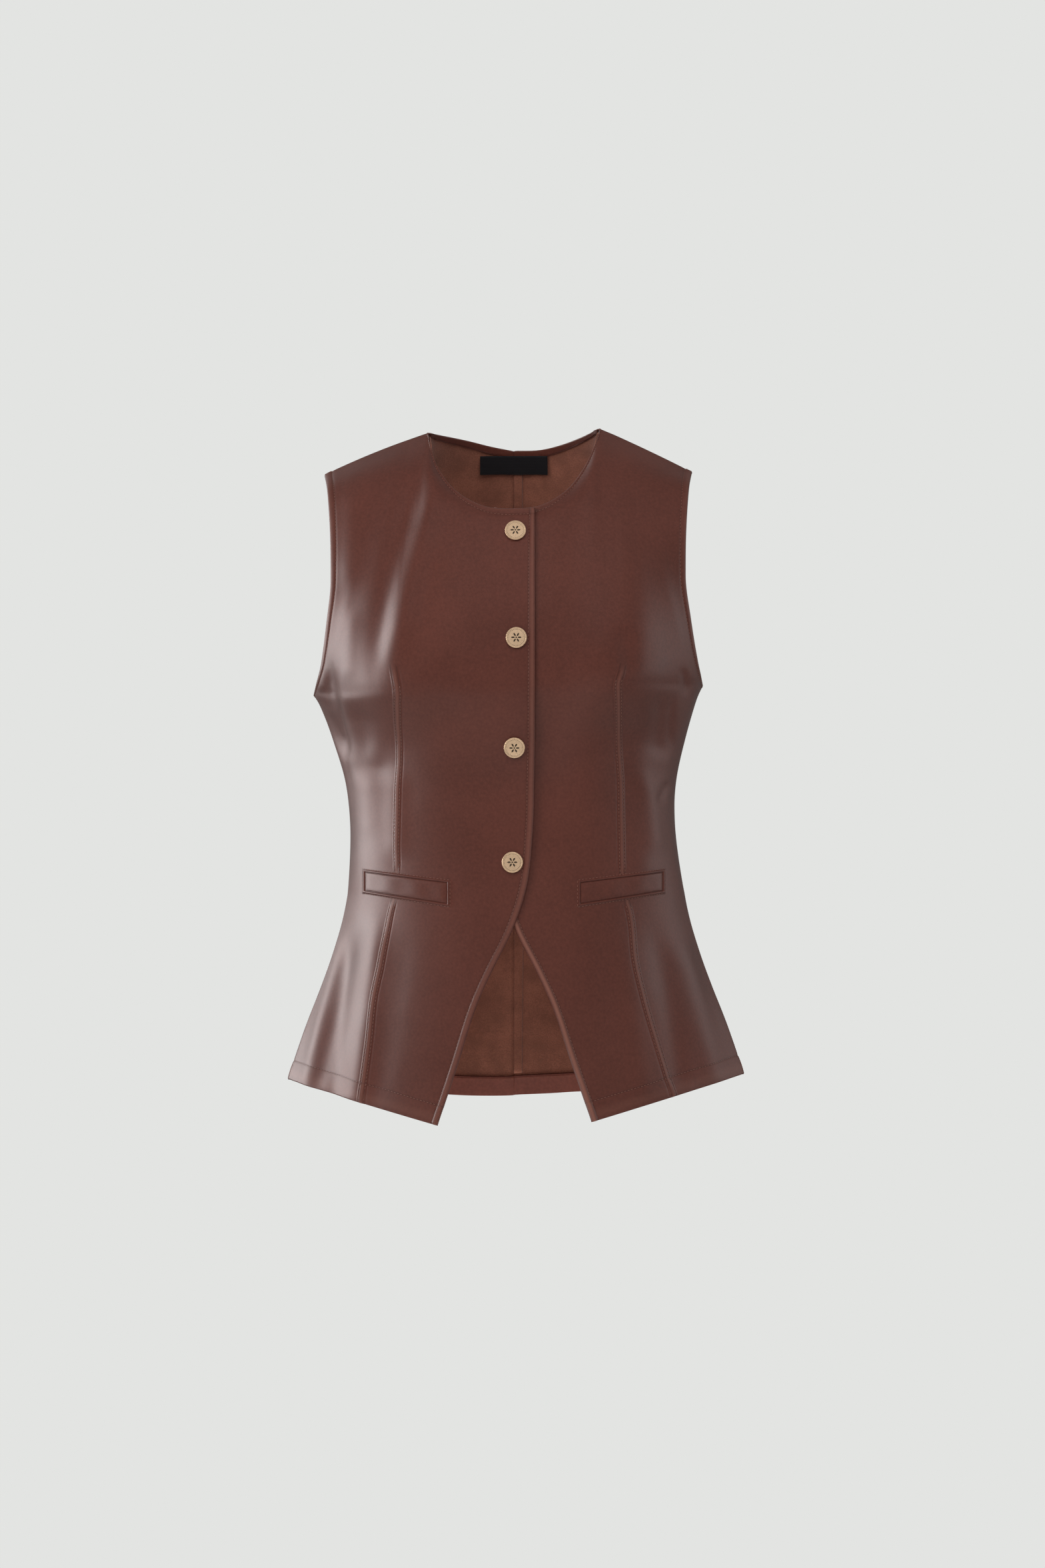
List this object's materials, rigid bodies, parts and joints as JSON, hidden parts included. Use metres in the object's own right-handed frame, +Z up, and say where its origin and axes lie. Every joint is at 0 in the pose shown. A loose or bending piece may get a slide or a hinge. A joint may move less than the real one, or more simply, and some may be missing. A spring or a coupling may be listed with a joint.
{
  "type": "leather vest",
  "caption": "Fitted sleeveless leather vest with round neck, snap caps, welt pockets and a cutaway front, filled out as worn.",
  "frame": {"origin": "between the two shoulder seams, level with their middles, where the wearer carries the vest", "axes": "+Z up, the front faces -Y, +X towards the wearer's left side"},
  "size_m": [0.395, 0.2091, 0.5982],
  "materials": {
    "leather": "smooth, softly glossy brown leather",
    "backing": "brushed suede-like inside",
    "cap_metal": "pale gold, polished",
    "label": "black woven tape, bare"
  },
  "bodies": {
    "root": {"armhole_facing_back_left": "leather", "armhole_facing_back_right": "leather", "armhole_facing_front_left": "leather", "armhole_facing_front_right": "leather", "back_hem_turn_left": "leather", "back_hem_turn_right": "leather", "back_left": "leather", "back_neck_facing_left": "leather", "back_neck_facing_right": "leather", "back_right": "leather", "centre_back_allowance": "backing", "front_left": "leather", "front_right": "leather", "neck_label": "label", "pocket_welt_left": "leather", "pocket_welt_right": "leather", "snap_cap_1": "cap_metal", "snap_cap_2": "cap_metal", "snap_cap_3": "cap_metal", "snap_cap_4": "cap_metal"}
  },
  "joints": []
}
